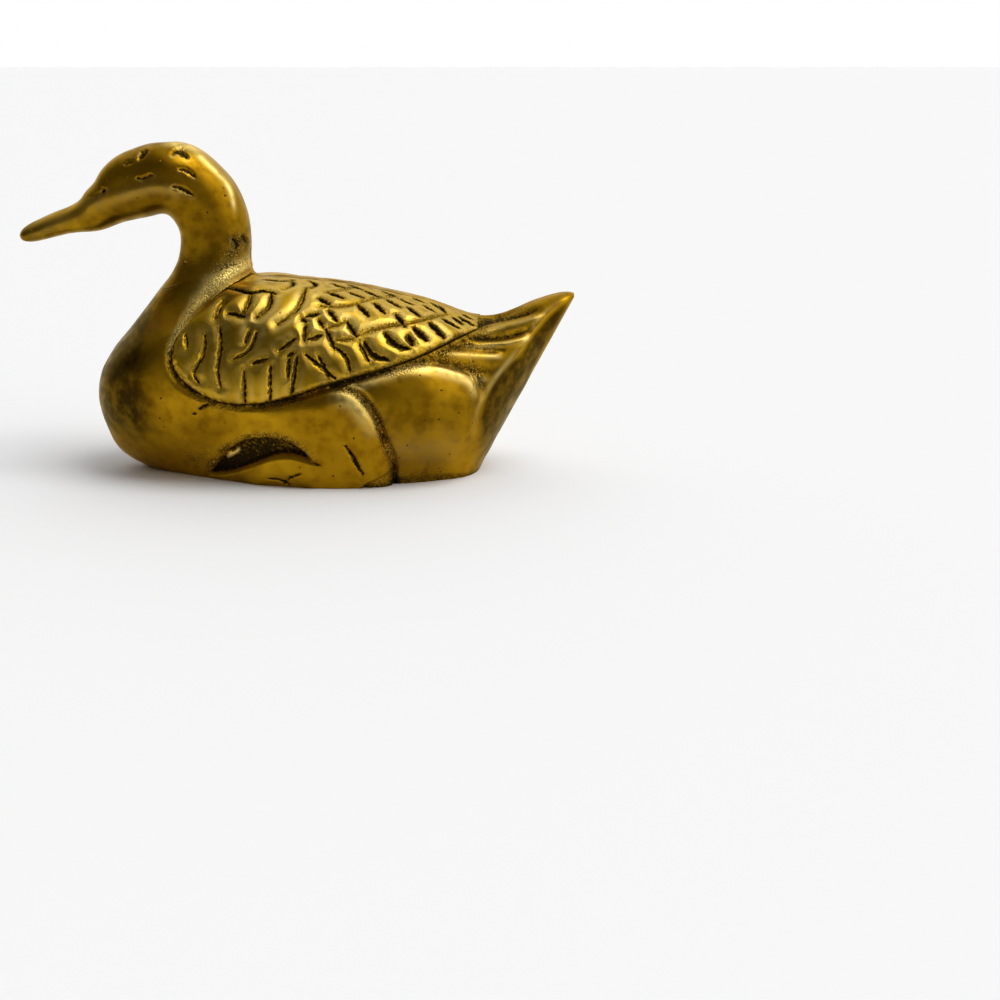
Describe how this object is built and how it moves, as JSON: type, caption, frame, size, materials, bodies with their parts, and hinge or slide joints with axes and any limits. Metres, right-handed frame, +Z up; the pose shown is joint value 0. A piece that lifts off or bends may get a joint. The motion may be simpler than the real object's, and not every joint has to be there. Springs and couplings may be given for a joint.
{
  "type": "duck figurine",
  "caption": "Hollow brass duck ornament with a raised head, set-in feathered wings and an upturned tail, standing on the rim of its open underside.",
  "frame": {"origin": "middle of the overall length and width, on the plane of the rim that it stands on", "axes": "+X from the bill to the tail, +Y towards the duck's right side, +Z up"},
  "size_m": [0.14, 0.0558, 0.0829],
  "materials": {
    "cast_brass": "cast, filed and worn bright, with brown tarnish in the hollows",
    "chased_brass": "chased feather pattern, worn bright on the raised parts and dark in the cuts",
    "braze": "filed flush with the castings"
  },
  "bodies": {
    "root": {"left_body_half": "cast_brass", "right_body_half": "cast_brass", "head_and_neck": "cast_brass", "left_wing": "chased_brass", "right_wing": "chased_brass", "breast_seam_braze": "braze", "back_seam_braze": "braze", "neck_braze_ring": "braze"}
  },
  "joints": []
}
